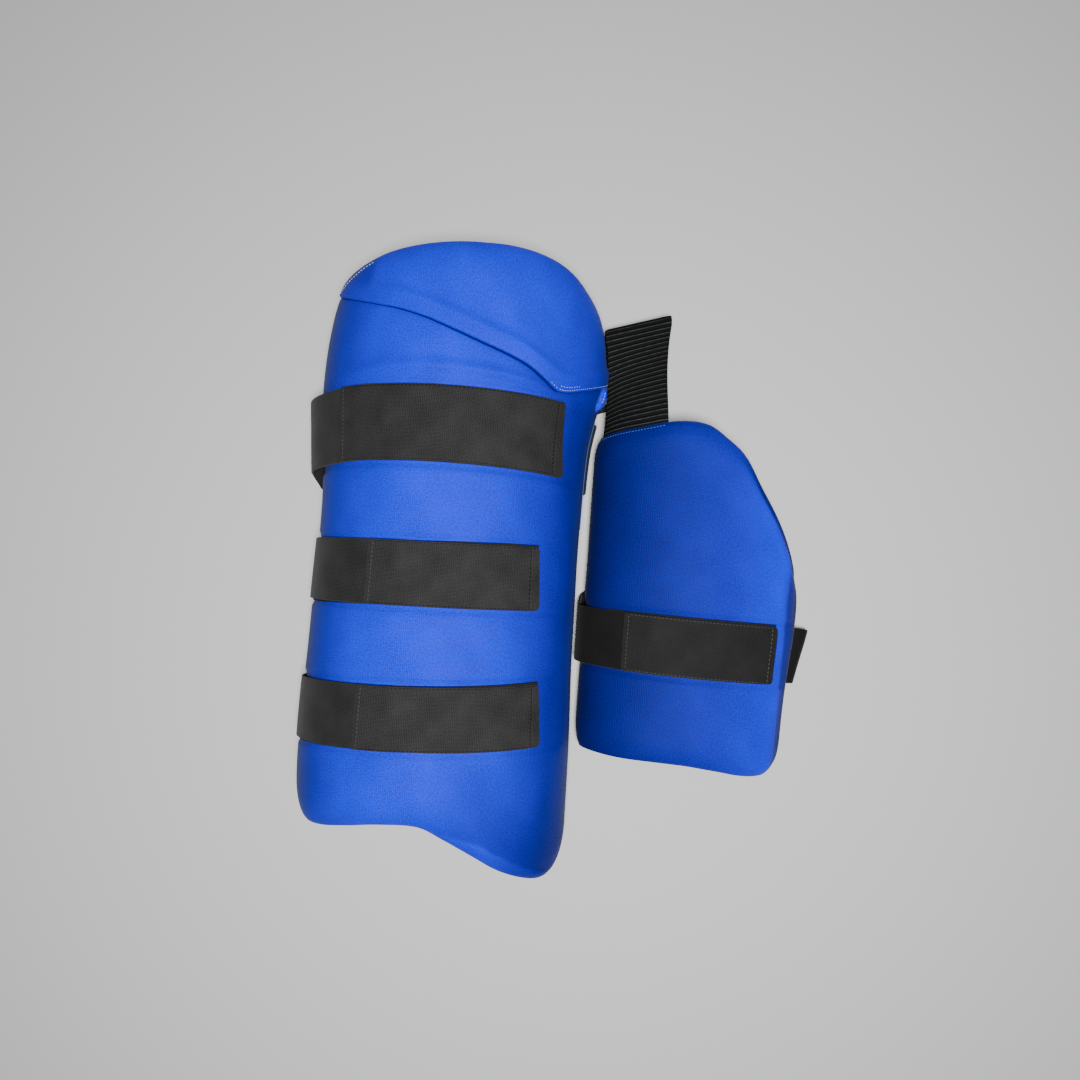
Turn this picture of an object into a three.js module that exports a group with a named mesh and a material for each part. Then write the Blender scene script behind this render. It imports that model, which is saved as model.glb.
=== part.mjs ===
import * as THREE from 'three';

// A thigh guard in millimetres, +Z up, lying on its long edges with the hollow below.
// The outer pad lies along +Y, with its rounded top towards +Y and the inner pad at its +X side.

// Outer pad
const outerWidth = 200;
const outerLength = 397;
const outerRise = 100;
const outerSideHeight = 28;
const outerTuck = 10;
const outerFoam = 25;
const outerSideFoam = 15;
const outerEndRounding = 24;
const outerSideRounding = 12;

// Inner pad
const innerWidth = 159;
const innerLength = 245;
const innerRise = 62;
const innerSideHeight = 18;
const innerTuck = 6;
const innerFoam = 20;
const innerSideFoam = 11;
const innerEndRounding = 18;
const innerSideRounding = 9;

// Where the inner pad lies beside the outer one, at this share of the outer half width
const outerBeside = 1.02;
const padGap = 2.5;
const innerSetBack = 30;

// Both covers: the sewn rim, and the dents that the straps press in
const seamThickness = 3;
const seamDepth = 0.45;
const dentDepth = 1.6;
const dentFade = 4;
const dentMargin = 1.5;
const ledgeWidth = 11;

// Top panel of the outer cover
const hoodThickness = 1.4;
const hemThickness = 2.6;
const hemWidth = 11;

// Straps
const strapThickness = 1.5;
const patchThickness = 1;
const waistStrapWidth = 52;
const thighStrapWidth = 44;
const innerStrapWidth = 42;
const tabCorner = 3;
const tabLap = 12;
const tabLanding = 6;
const tabMargin = 1;
const floorMargin = 1;
const waistStrapAlong = 73.5;
const upperStrapAlong = -27.5;
const lowerStrapAlong = -124.5;
const innerStrapAlong = -38;

// Ribbed elastic between the pads
const linkWidth = 51;
const linkFrontLength = 73;
const linkRearLength = 57;
const linkThickness = 1.6;
const linkSlant = 17;
const linkWaist = 3;
const linkFoldRadius = 8;
const linkFoldHeight = 26;
const ribHeight = 0.9;
const ribPitch = 3.7;
const linkHemLeft = -0.65;
const linkHemRight = -0.21;

// Gap between pieces that touch
const clearance = 0.3;

// Shares across a pad, from its left rim at -1 to its right rim at 1: where the arch ends and
// the upright side begins, where a strap leaves the left side, and where the ledge is widest
const archShare = 0.82;
const strapLeaves = -0.9;
const strapStands = -0.5;
const ledgeMiddle = -0.05;
const ledgeReach = 0.52;
const hoodLeft = -0.75;

// How finely the pads are divided: columns across, rows of an end's rounding from its rim, and
// rows of the plain stretches between features
const archColumns = 8;
const sideColumns = [0.87, 0.92, 0.96, 1];
const bottomRows = [0, 0.1, 0.33, 0.63, 1];
const topRows = [0.35, 0.6, 0.8, 0.92, 0.98, 1];
const hemRows = [0.5, 0.75, 0.9, 0.97];

// How finely the straps and the ribbed elastic are divided: steps of a strap's turn below the
// pad, of its run along the floor and of its loop, and columns and rear rows of the elastic
const turnSteps = [0.2, 0.4, 0.6, 0.8, 1];
const floorSteps = [0.08, 0.92, 1];
const loopSteps = [0.15, 0.3, 0.45, 0.6, 0.75, 0.88, 1];
const linkColumns = [0, 0.25, 0.5, 0.75, 1];
const linkRearRows = [0.2, 0.4, 0.6, 0.8, 1];

// Half widths along the outer pad, as shares of half its width
const outerWidths = [
  { along: -0.515, left: 0.98, right: 1.015 },
  { along: -0.414, left: 1.0, right: 1.01 },
  { along: -0.188, left: 0.975, right: 0.98 },
  { along: 0.052, left: 0.95, right: 0.97 },
  { along: 0.17, left: 0.98, right: 0.985 },
  { along: 0.228, left: 1.0, right: 1.02 },
  { along: 0.261, left: 1.0, right: 1.05 },
  { along: 0.293, left: 0.995, right: 1.085 },
  { along: 0.341, left: 0.98, right: 1.065 },
  { along: 0.417, left: 0.94, right: 1.03 },
  { along: 0.455, left: 0.92, right: 1.0 },
];

// Ends of the outer pad across its girth, as shares of its length from the middle
const outerOutline = [
  { across: -1, top: 0.37, bottom: -0.47 },
  { across: -0.9, top: 0.402, bottom: -0.497 },
  { across: -0.75, top: 0.434, bottom: -0.521 },
  { across: -0.6, top: 0.452, bottom: -0.53 },
  { across: -0.45, top: 0.465, bottom: -0.526 },
  { across: -0.3, top: 0.479, bottom: -0.515 },
  { across: -0.15, top: 0.489, bottom: -0.504 },
  { across: 0, top: 0.496, bottom: -0.502 },
  { across: 0.1, top: 0.498, bottom: -0.522 },
  { across: 0.2, top: 0.499, bottom: -0.546 },
  { across: 0.32, top: 0.495, bottom: -0.575 },
  { across: 0.45, top: 0.484, bottom: -0.594 },
  { across: 0.57, top: 0.466, bottom: -0.602 },
  { across: 0.7, top: 0.442, bottom: -0.596 },
  { across: 0.82, top: 0.415, bottom: -0.577 },
  { across: 0.92, top: 0.388, bottom: -0.552 },
  { across: 1, top: 0.365, bottom: -0.528 },
];

// Lower hem of the top panel, as shares of the outer pad's length
const hemLine = [
  { across: -1, along: 0.388 },
  { across: -0.78, along: 0.43 },
  { across: -0.55, along: 0.408 },
  { across: -0.31, along: 0.386 },
  { across: -0.2, along: 0.376 },
  { across: -0.06, along: 0.357 },
  { across: 0.1, along: 0.328 },
  { across: 0.25, along: 0.301 },
  { across: 0.34, along: 0.277 },
  { across: 0.41, along: 0.262 },
  { across: 0.53, along: 0.273 },
  { across: 0.66, along: 0.288 },
  { across: 0.82, along: 0.303 },
  { across: 1, along: 0.308 },
];

const innerWidths = [
  { along: -0.45, left: 1.0, right: 0.93 },
  { along: -0.3, left: 1.0, right: 0.945 },
  { along: -0.2, left: 1.0, right: 0.97 },
  { along: -0.1, left: 1.0, right: 1.0 },
  { along: 0.1, left: 1.0, right: 1.01 },
  { along: 0.5, left: 1.0, right: 1.0 },
];

const innerOutline = [
  { across: -1, top: 0.414, bottom: -0.47 },
  { across: -0.82, top: 0.45, bottom: -0.487 },
  { across: -0.6, top: 0.468, bottom: -0.492 },
  { across: -0.36, top: 0.487, bottom: -0.498 },
  { across: -0.14, top: 0.509, bottom: -0.499 },
  { across: 0, top: 0.502, bottom: -0.502 },
  { across: 0.1, top: 0.466, bottom: -0.508 },
  { across: 0.2, top: 0.42, bottom: -0.515 },
  { across: 0.3, top: 0.338, bottom: -0.523 },
  { across: 0.43, top: 0.25, bottom: -0.527 },
  { across: 0.58, top: 0.153, bottom: -0.52 },
  { across: 0.7, top: 0.085, bottom: -0.495 },
  { across: 0.82, top: 0.027, bottom: -0.447 },
  { across: 0.92, top: -0.007, bottom: -0.41 },
  { across: 1, top: -0.032, bottom: -0.375 },
];

// Each strap: its middle line and width in millimetres, then as shares of its width how it leans
// and bows across the pad, how far it slides along where it goes below each side, how far it
// stands off the left side and in the loop at the right, and how its front tip and patch lean.
// The seam of its front end, the tip and the patch's start are shares across the pad.
const waistStrap = {
  along: waistStrapAlong, width: waistStrapWidth,
  lean: 0.02, bow: 0.206, slideLeft: -0.27, slideRight: 0,
  seam: -0.44, tip: 0.484, tipLean: 0.09, standLeft: 0.22, ledge: ledgeWidth,
  loop: { stand: 0.042, pinch: 0, seam: 0.86 }, patch: null,
};
const upperStrap = {
  along: upperStrapAlong, width: thighStrapWidth,
  lean: 0.08, bow: 0, slideLeft: 0, slideRight: 0,
  seam: -0.25, tip: 0.412, tipLean: 0.03, standLeft: 0.014, ledge: 0,
  loop: null, patch: { from: -0.7, lean: 0.09 },
};
const lowerStrap = {
  along: lowerStrapAlong, width: thighStrapWidth,
  lean: 0.205, bow: 0, slideLeft: 0, slideRight: 0,
  seam: -0.25, tip: 0.45, tipLean: 0.03, standLeft: 0.014, ledge: 0,
  loop: null, patch: { from: -0.7, lean: 0.068 },
};
const innerStrap = {
  along: innerStrapAlong, width: innerStrapWidth,
  lean: -0.083, bow: 0, slideLeft: 0.286, slideRight: -0.048,
  seam: -0.355, tip: 0.434, tipLean: 0.02, standLeft: 0.086, ledge: 0,
  loop: { stand: 0.357, pinch: 0.35, seam: 0.86 }, patch: { from: -0.5, lean: 0.024 },
};

const outerPad = {
  x: 0, y: 0, width: outerWidth, length: outerLength, rise: outerRise, sideHeight: outerSideHeight,
  tuck: outerTuck, foam: outerFoam, sideFoam: outerSideFoam, endRounding: outerEndRounding,
  sideRounding: outerSideRounding, widths: outerWidths, outline: outerOutline,
  straps: [lowerStrap, upperStrap, waistStrap],
};
const innerPad = {
  x: outerBeside * outerWidth / 2 + padGap + innerWidth / 2, y: -innerSetBack,
  width: innerWidth, length: innerLength, rise: innerRise, sideHeight: innerSideHeight,
  tuck: innerTuck, foam: innerFoam, sideFoam: innerSideFoam, endRounding: innerEndRounding,
  sideRounding: innerSideRounding, widths: innerWidths, outline: innerOutline,
  straps: [innerStrap],
};

const clamp = THREE.MathUtils.clamp;
const mix = THREE.MathUtils.lerp;
const ease = (share) => THREE.MathUtils.smoothstep(share, 0, 1);

// One column of a table at a position between its rows, on a smooth curve
function read(rows, key, column, at) {
  let row = 0;
  while (row < rows.length - 2 && at > rows[row + 1][key]) row += 1;
  const before = rows[Math.max(row - 1, 0)];
  const from = rows[row];
  const to = rows[row + 1];
  const after = rows[Math.min(row + 2, rows.length - 1)];
  const span = to[key] - from[key];
  const share = clamp((at - from[key]) / span, 0, 1);
  const startSlope = (to[column] - before[column]) / (to[key] - before[key]) * span;
  const endSlope = (after[column] - from[column]) / (after[key] - from[key]) * span;
  const rise = to[column] - from[column];
  return from[column] + share * startSlope
    + share ** 2 * (3 * rise - 2 * startSlope - endSlope)
    + share ** 3 * (startSlope + endSlope - 2 * rise);
}

const topEdge = (pad, across) => read(pad.outline, 'across', 'top', across) * pad.length;
const bottomEdge = (pad, across) => read(pad.outline, 'across', 'bottom', across) * pad.length;

// Half width of a pad on one side at a place along it
function halfWidth(pad, side, y) {
  return read(pad.widths, 'along', side, y / pad.length) * pad.width / 2;
}

// How far down the upright side a place lies, from 0 at the arch to 1 at the rim
function sideDrop(across) {
  return clamp((Math.abs(across) - archShare) / (1 - archShare), 0, 1);
}

// Middle line of a strap across the pad
function strapMiddle(strap, across) {
  const slide = (across < 0 ? strap.slideLeft : strap.slideRight) * ease(sideDrop(across));
  return strap.along + strap.width * (strap.lean * across - strap.bow * across ** 2 + slide);
}

// Width of the sloping ledge above a strap, widest over the crown
function ledgeAt(strap, across) {
  return Math.max(dentFade, strap.ledge * (1 - ((across - ledgeMiddle) / ledgeReach) ** 2));
}

// Share of a strap's dent at a place on the pad
function strapCover(strap, across, y) {
  const beyond = y - strapMiddle(strap, across);
  const fade = beyond > 0 ? ledgeAt(strap, across) : dentFade;
  const outside = Math.abs(beyond) - strap.width / 2 - dentMargin;
  return 1 - clamp(outside / fade, 0, 1);
}

// Smooth envelope of a pad: its outer face, or the face of its hollow
function section(pad, across, y, hollow) {
  const side = across < 0 ? 'left' : 'right';
  const reach = halfWidth(pad, side, y) - (hollow ? pad.sideFoam : 0);
  const rise = pad.rise - pad.sideHeight - (hollow ? pad.foam : 0);
  const turn = Math.min(Math.abs(across) / archShare, 1) * Math.PI / 2;
  const drop = sideDrop(across);
  const covers = pad.straps.map((strap) => strapCover(strap, across, y));
  const lift = (strapThickness + clearance) * Math.max(...covers);
  const x = Math.sign(across) * (reach * Math.sin(turn) - pad.tuck * drop ** 2);
  const z = rise * Math.cos(turn) + pad.sideHeight * (1 - drop) + lift * drop;
  return new THREE.Vector3(x, y, z);
}

const rounded = (share) => Math.sqrt(1 - (1 - clamp(share, 0, 1)) ** 2);

// Half girth of a pad, which turns a length around it into a share across
function girth(pad) {
  const arch = Math.PI / 2 * Math.hypot(pad.width / 2, pad.rise - pad.sideHeight) / Math.SQRT2;
  return arch + pad.sideHeight;
}

// Both faces of a pad, thinned to the sewn rim at its edges and dented below its straps
function skin(pad, across, y) {
  const face = section(pad, across, y, false);
  const hollow = section(pad, across, y, true);
  const thickness = face.distanceTo(hollow);
  const fromSide = (1 - Math.abs(across)) * girth(pad) / pad.sideRounding;
  const fromEnd = Math.min(topEdge(pad, across) - y, y - bottomEdge(pad, across)) / pad.endRounding;
  const full = Math.max(seamThickness / thickness, rounded(fromSide) * rounded(fromEnd));
  const seam = face.clone().lerp(hollow, seamDepth);
  const inward = hollow.clone().sub(face).normalize();
  const outer = seam.clone().lerp(face, full);
  const inner = seam.clone().lerp(hollow, full);
  for (const strap of pad.straps) {
    const pastTip = (across - strap.tip) * archColumns / archShare - 1;
    const dent = dentDepth * strapCover(strap, across, y) * (1 - clamp(pastTip, 0, 1)) * full;
    outer.addScaledVector(inward, dent);
  }
  return { outer, inner };
}

// Outward direction of a pad's outer face in its cross section
function faceNormal(pad, across, y) {
  const step = 0.004;
  const from = skin(pad, Math.max(across - step, -1), y).outer;
  const to = skin(pad, Math.min(across + step, 1), y).outer;
  return new THREE.Vector3(from.z - to.z, 0, to.x - from.x).normalize();
}

// Columns of a pad from its left rim to its right rim
function padColumns() {
  const columns = [];
  for (let i = -archColumns; i <= archColumns; i += 1) columns.push(archShare * i / archColumns);
  for (const column of sideColumns) {
    columns.push(column);
    columns.unshift(-column);
  }
  return columns;
}

// Solid between two grids of points that match, closed round its edges, faces pointing out
function slab(outer, inner) {
  const rows = outer.length;
  const count = outer[0].length;
  const positions = [...outer.flat(), ...inner.flat()].flatMap((point) => [point.x, point.y, point.z]);
  const top = (i, j) => i * count + j;
  const under = (i, j) => rows * count + i * count + j;
  const faces = [];
  const quad = (a, b, c, d) => faces.push([a, b, c], [a, c, d]);
  for (let i = 0; i < rows - 1; i += 1) {
    for (let j = 0; j < count - 1; j += 1) {
      quad(top(i, j), top(i + 1, j), top(i + 1, j + 1), top(i, j + 1));
      faces.push([under(i, j), under(i + 1, j + 1), under(i + 1, j)]);
      faces.push([under(i, j), under(i, j + 1), under(i + 1, j + 1)]);
    }
    quad(top(i, 0), under(i, 0), under(i + 1, 0), top(i + 1, 0));
    quad(top(i + 1, count - 1), under(i + 1, count - 1), under(i, count - 1), top(i, count - 1));
  }
  for (let j = 0; j < count - 1; j += 1) {
    quad(top(0, j + 1), under(0, j + 1), under(0, j), top(0, j));
    quad(top(rows - 1, j), under(rows - 1, j), under(rows - 1, j + 1), top(rows - 1, j + 1));
  }
  const at = (index) => new THREE.Vector3().fromArray(positions, index * 3);
  const volume = faces.reduce((sum, [a, b, c]) => sum + at(a).dot(at(b).cross(at(c))), 0);
  const geometry = new THREE.BufferGeometry();
  geometry.setAttribute('position', new THREE.Float32BufferAttribute(positions, 3));
  geometry.setIndex(faces.flatMap(([a, b, c]) => (volume > 0 ? [a, b, c] : [a, c, b])));
  geometry.computeVertexNormals();
  return geometry;
}

// Direction out of a grid's face at one of its points
function gridNormal(grid, i, j) {
  const along = grid[Math.min(i + 1, grid.length - 1)][j].clone().sub(grid[Math.max(i - 1, 0)][j]);
  const last = grid[i].length - 1;
  const across = grid[i][Math.min(j + 1, last)].clone().sub(grid[i][Math.max(j - 1, 0)]);
  return along.cross(across).normalize();
}

// Rows of a pad from its bottom end to its top end, as a place along it for each column
function padRows(pad, hem) {
  const bottom = (across) => bottomEdge(pad, across);
  const rows = bottomRows.map((share) => (across) => bottom(across) + share * pad.endRounding);
  const between = (from, to, shares) => {
    for (const share of shares) rows.push((across) => mix(from(across), to(across), share));
  };
  for (const strap of pad.straps) {
    const reach = strap.width / 2 + dentMargin;
    const below = (across) => strapMiddle(strap, across) - reach;
    const above = (across) => strapMiddle(strap, across) + reach;
    const start = (across) => below(across) - dentFade;
    between(rows.at(-1), start, [0.5]);
    rows.push(start, below, above, (across) => above(across) + ledgeAt(strap, across));
  }
  const top = (across) => topEdge(pad, across);
  if (hem) {
    between(rows.at(-1), hem, hemRows);
    rows.push(hem);
    rows.push((across) => hem(across) + Math.min(hemWidth, (top(across) - hem(across)) / 2));
  }
  between(rows.at(-1), top, topRows);
  return rows;
}

function padGrid(pad, hem) {
  const columns = padColumns();
  const rows = padRows(pad, hem);
  const grid = columns.map((across) => rows.map((row) => skin(pad, across, row(across))));
  return {
    columns,
    hemRow: rows.indexOf(hem),
    outer: grid.map((line) => line.map((point) => point.outer)),
    inner: grid.map((line) => line.map((point) => point.inner)),
  };
}

// Top panel of the cover, on the outer pad's own grid, thicker along its hem
function hoodGeometry(grid) {
  const first = grid.columns.findIndex((across) => across > hoodLeft);
  const outer = [];
  const inner = [];
  for (let i = first; i < grid.columns.length - 1; i += 1) {
    const face = [];
    const back = [];
    for (let j = grid.hemRow; j < grid.outer[i].length; j += 1) {
      const out = gridNormal(grid.outer, i, j);
      const thickness = j <= grid.hemRow + 1 ? hemThickness : hoodThickness;
      back.push(grid.outer[i][j].clone().addScaledVector(out, clearance));
      face.push(grid.outer[i][j].clone().addScaledVector(out, clearance + thickness));
    }
    outer.push(face);
    inner.push(back);
  }
  return slab(outer, inner);
}

// Columns of the pad between two places, with both ends and any further stops
function stops(from, to, more) {
  const inside = (across) => across > from + 0.01 && across < to - 0.01;
  const apart = (across) => more.every((stop) => Math.abs(stop - across) > 0.01);
  const columns = padColumns().filter((across) => inside(across) && apart(across));
  return [from, ...columns, ...more, to].sort((a, b) => a - b);
}

// Point above a pad's outer face
function above(pad, across, y, height) {
  return skin(pad, across, y).outer.addScaledVector(faceNormal(pad, across, y), height);
}

// Ribbon along two edge lines that face the pad, its thickness added on the far side
function ribbon(edges, thickness) {
  const outer = edges.map((line) => line.map((point, i) => {
    const from = line[Math.max(i - 1, 0)];
    const to = line[Math.min(i + 1, line.length - 1)];
    const flat = (a, b) => new THREE.Vector3(b.x - a.x, 0, b.z - a.z).normalize();
    const before = i > 0 ? flat(from, point) : flat(point, to);
    const after = i < line.length - 1 ? flat(point, to) : before;
    const middle = before.clone().add(after).normalize();
    const out = new THREE.Vector3(middle.z, 0, -middle.x);
    return point.clone().addScaledVector(out, thickness / middle.dot(before));
  }));
  const turnOver = (lines) => lines[0].map((_, i) => lines.map((line) => line[i]));
  return slab(turnOver(outer), turnOver(edges));
}

// Height of a strap's elastic over the pad's face, clear of the patch below it
function strapHeight(strap) {
  return strap.patch ? patchThickness + 2 * clearance : clearance;
}

// Elastic of a strap: over the left side, back along the floor and up to the right seam
function strapGeometry(pad, strap) {
  const height = strapHeight(strap);
  const end = strap.seam + tabLap / girth(pad);
  const edges = [-1, 1].map((edge) => {
    const edgeY = (across) => strapMiddle(strap, across) + edge * strap.width / 2;
    const line = [];
    const more = strap.patch ? [strap.patch.from] : [];
    for (const across of stops(strapLeaves, end, more).reverse()) {
      const share = (across - strapStands) / (strapLeaves - strapStands);
      const stand = strap.standLeft * strap.width * ease(share);
      line.push(above(pad, across, edgeY(across), height + stand));
    }
    const side = line.at(-1);
    const leftRim = skin(pad, -1, edgeY(-1)).outer;
    const rightRim = skin(pad, 1, edgeY(1)).outer;
    const floorStart = new THREE.Vector3(leftRim.x - floorMargin, edgeY(-1), strapThickness);
    const corner = new THREE.Vector3(side.x + floorMargin, 0, strapThickness);
    const turn = new THREE.QuadraticBezierCurve3(side, corner, floorStart);
    for (const share of turnSteps) {
      const point = turn.getPoint(share);
      point.y = edgeY(mix(strapLeaves, -1, share));
      line.push(point);
    }
    const floorEnd = new THREE.Vector3(rightRim.x + floorMargin, edgeY(1), strapThickness);
    for (const share of floorSteps) line.push(floorStart.clone().lerp(floorEnd, share));
    if (strap.loop) {
      const seam = above(pad, strap.loop.seam, edgeY(strap.loop.seam), clearance);
      const stand = strap.loop.stand * strap.width * (edge < 0 ? 1 - strap.loop.pinch : 1);
      const bulge = halfWidth(pad, 'right', edgeY(1)) + stand * 4 / 3;
      const low = new THREE.Vector3(bulge, 0, strapThickness);
      const high = new THREE.Vector3(bulge, 0, seam.z);
      const loop = new THREE.CubicBezierCurve3(floorEnd, low, high, seam);
      for (const share of loopSteps) {
        const point = loop.getPoint(share);
        point.y = edgeY(mix(1, strap.loop.seam, share));
        line.push(point);
      }
    }
    return line;
  });
  return ribbon(edges, strapThickness);
}

// Front end of a strap: sewn over the elastic, then down onto the patch, with cut corners
function tabGeometry(pad, strap) {
  const height = strapHeight(strap);
  const start = strap.seam - tabMargin / girth(pad);
  const lapEnd = strap.seam + (tabLap + tabMargin) / girth(pad);
  const landed = lapEnd + tabLanding / girth(pad);
  const cornerStart = strap.tip - tabCorner / girth(pad);
  const places = stops(start, strap.tip, [lapEnd, landed, cornerStart]).reverse();
  const square = places[2];
  const edges = [-1, 1].map((edge) => places.map((place) => {
    const lean = edge * strap.tipLean * strap.width / girth(pad);
    const across = place - lean * clamp((place - square) / (strap.tip - square), 0, 1);
    const lifted = 1 - clamp((place - lapEnd) / (landed - lapEnd), 0, 1);
    const cut = place > cornerStart ? tabCorner : 0;
    const y = strapMiddle(strap, across) + edge * (strap.width / 2 - cut);
    return above(pad, across, y, height + lifted * (strapThickness + clearance));
  }));
  return ribbon(edges, strapThickness);
}

// Fastening patch on the pad's cover, turned a little so that its edges show
function patchGeometry(pad, strap) {
  const places = stops(strap.patch.from, strap.tip - tabMargin / girth(pad), []).reverse();
  const middle = (strap.patch.from + strap.tip) / 2;
  const edges = [-1, 1].map((edge) => places.map((across) => {
    const tilt = clamp(strap.patch.lean * strap.width * (across - middle), -dentMargin, dentMargin);
    const y = strapMiddle(strap, across) + tilt + edge * strap.width / 2;
    return above(pad, across, y, clearance);
  }));
  return ribbon(edges, patchThickness);
}

// Ribbed elastic: up from the inner pad's top hem, over a fold, and back to the outer pad
function linkGeometry() {
  const slant = THREE.MathUtils.degToRad(linkSlant);
  const inPlace = (point) => point.add(new THREE.Vector3(innerPad.x, innerPad.y, 0));
  const hem = linkColumns.map((share) => {
    const across = mix(linkHemLeft, linkHemRight, share);
    const rim = skin(innerPad, across, topEdge(innerPad, across));
    const middle = rim.outer.clone().lerp(rim.inner, 0.5);
    middle.y += clearance;
    return inPlace(middle);
  });
  const foldY = hem[0].y + linkFrontLength;
  const sideOf = (y) => {
    const beside = Math.min(y, topEdge(outerPad, archShare));
    return skin(outerPad, archShare, beside).outer.x + hemThickness + clearance + linkThickness / 2;
  };
  const fold = linkColumns.map((share) => new THREE.Vector3(
    sideOf(foldY) + share * linkWidth * Math.cos(slant),
    foldY + share * linkWidth * Math.sin(slant),
    linkFoldHeight,
  ));
  const rows = [];
  const ribs = [];
  const push = (row, rib) => {
    rows.push(row);
    ribs.push(rib);
  };
  const ribSteps = 2 * Math.round(linkFrontLength / ribPitch);
  for (let step = 0; step <= ribSteps; step += 1) {
    const share = step / ribSteps;
    push(linkColumns.map((u, k) => {
      const point = hem[k].clone().lerp(fold[k], share);
      point.z = mix(hem[k].z, fold[k].z, ease(share));
      point.x += linkWaist * Math.sin(Math.PI * share) * (1 - 2 * u);
      const crowd = Math.max(0, sideOf(point.y) - point.x - (hem[k].x - hem[0].x));
      point.x += u === 0 ? Math.max(0, sideOf(point.y) - point.x) : crowd * (1 - u);
      return point;
    }), step % 2 === 1);
  }
  const foldSteps = 2 * Math.round(Math.PI * linkFoldRadius / ribPitch / 2 + 1);
  for (let step = 1; step <= foldSteps; step += 1) {
    const angle = Math.PI * step / foldSteps;
    push(fold.map((point) => new THREE.Vector3(
      point.x,
      point.y + linkFoldRadius * Math.sin(angle),
      point.z - linkFoldRadius * (1 - Math.cos(angle)),
    )), step % 2 === 1);
  }
  const rearZ = linkFoldHeight - 2 * linkFoldRadius;
  const leanIn = outerTuck * (1 - rearZ / outerSideHeight) ** 2;
  for (const share of linkRearRows) {
    push(fold.map((point, k) => {
      const y = point.y - linkRearLength * share;
      const seat = halfWidth(outerPad, 'right', y) - leanIn + clearance;
      const x = share < 1 ? Math.max(point.x, sideOf(y)) : seat;
      return new THREE.Vector3(mix(x, point.x, linkColumns[k]), y, rearZ);
    }), false);
  }
  const face = rows.map((row, i) => row.map((point, k) => {
    const out = gridNormal(rows, i, k).negate();
    return point.clone().addScaledVector(out, linkThickness / 2 + (ribs[i] ? ribHeight : 0));
  }));
  const back = rows.map((row, i) => row.map((point, k) => (
    point.clone().addScaledVector(gridNormal(rows, i, k), linkThickness / 2)
  )));
  return slab(face, back);
}

const cover = new THREE.MeshStandardMaterial({ color: 0x2f57c8, roughness: 0.55, metalness: 0 });
const webbing = new THREE.MeshStandardMaterial({ color: 0x2b2b2d, roughness: 0.8, metalness: 0 });
const patchCloth = new THREE.MeshStandardMaterial({ color: 0x161617, roughness: 0.95, metalness: 0 });
const ribbed = new THREE.MeshStandardMaterial({ color: 0x171718, roughness: 0.7, metalness: 0 });

function mesh(name, geometry, material) {
  const piece = new THREE.Mesh(geometry, material.clone());
  piece.name = name;
  return piece;
}

const hem = (across) => Math.min(
  read(hemLine, 'across', 'along', across) * outerLength,
  topEdge(outerPad, across) - seamThickness,
);
const outerGrid = padGrid(outerPad, hem);
const outerSide = new THREE.Group();
outerSide.add(
  mesh('outer_pad', slab(outerGrid.outer, outerGrid.inner), cover),
  mesh('outer_hood', hoodGeometry(outerGrid), cover),
  mesh('waist_strap', strapGeometry(outerPad, waistStrap), webbing),
  mesh('waist_strap_tab', tabGeometry(outerPad, waistStrap), webbing),
  mesh('thigh_strap_upper', strapGeometry(outerPad, upperStrap), webbing),
  mesh('thigh_strap_upper_tab', tabGeometry(outerPad, upperStrap), webbing),
  mesh('thigh_patch_upper', patchGeometry(outerPad, upperStrap), patchCloth),
  mesh('thigh_strap_lower', strapGeometry(outerPad, lowerStrap), webbing),
  mesh('thigh_strap_lower_tab', tabGeometry(outerPad, lowerStrap), webbing),
  mesh('thigh_patch_lower', patchGeometry(outerPad, lowerStrap), patchCloth),
);

const innerGrid = padGrid(innerPad, null);
const innerSide = new THREE.Group();
innerSide.position.set(innerPad.x, innerPad.y, 0);
innerSide.add(
  mesh('inner_pad', slab(innerGrid.outer, innerGrid.inner), cover),
  mesh('inner_strap', strapGeometry(innerPad, innerStrap), webbing),
  mesh('inner_strap_tab', tabGeometry(innerPad, innerStrap), webbing),
  mesh('inner_patch', patchGeometry(innerPad, innerStrap), patchCloth),
);

const guard = new THREE.Group();
guard.add(outerSide, innerSide, mesh('link_elastic', linkGeometry(), ribbed));

// The origin is below the middle of the whole guard, on the surface that it lies on
const box = new THREE.Box3().setFromObject(guard, true);
const middle = box.getCenter(new THREE.Vector3());
guard.position.set(-middle.x, -middle.y, -box.min.z);
guard.updateMatrixWorld(true);

export default guard;
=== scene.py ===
import math

import bpy
import numpy as np
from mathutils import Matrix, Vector


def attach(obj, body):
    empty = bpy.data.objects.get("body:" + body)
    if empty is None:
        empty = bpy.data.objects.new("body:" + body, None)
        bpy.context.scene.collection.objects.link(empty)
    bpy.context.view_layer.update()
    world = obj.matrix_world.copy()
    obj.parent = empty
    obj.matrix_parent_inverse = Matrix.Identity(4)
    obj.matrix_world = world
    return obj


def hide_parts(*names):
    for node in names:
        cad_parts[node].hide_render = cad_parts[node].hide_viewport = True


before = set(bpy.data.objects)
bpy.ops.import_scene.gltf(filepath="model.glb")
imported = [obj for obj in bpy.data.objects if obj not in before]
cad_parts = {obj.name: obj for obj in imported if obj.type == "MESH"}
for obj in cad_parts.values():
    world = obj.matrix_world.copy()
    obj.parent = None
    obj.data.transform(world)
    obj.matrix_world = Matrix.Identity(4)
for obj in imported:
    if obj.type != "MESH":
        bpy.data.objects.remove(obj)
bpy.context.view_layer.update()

# Everything below is worked out in millimetres round the outer pad's middle and turned into metres
# when a mesh is made. A place on a pad is given by its share across, -1 at the left rim and 1 at
# the right, and by its distance along.

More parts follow.
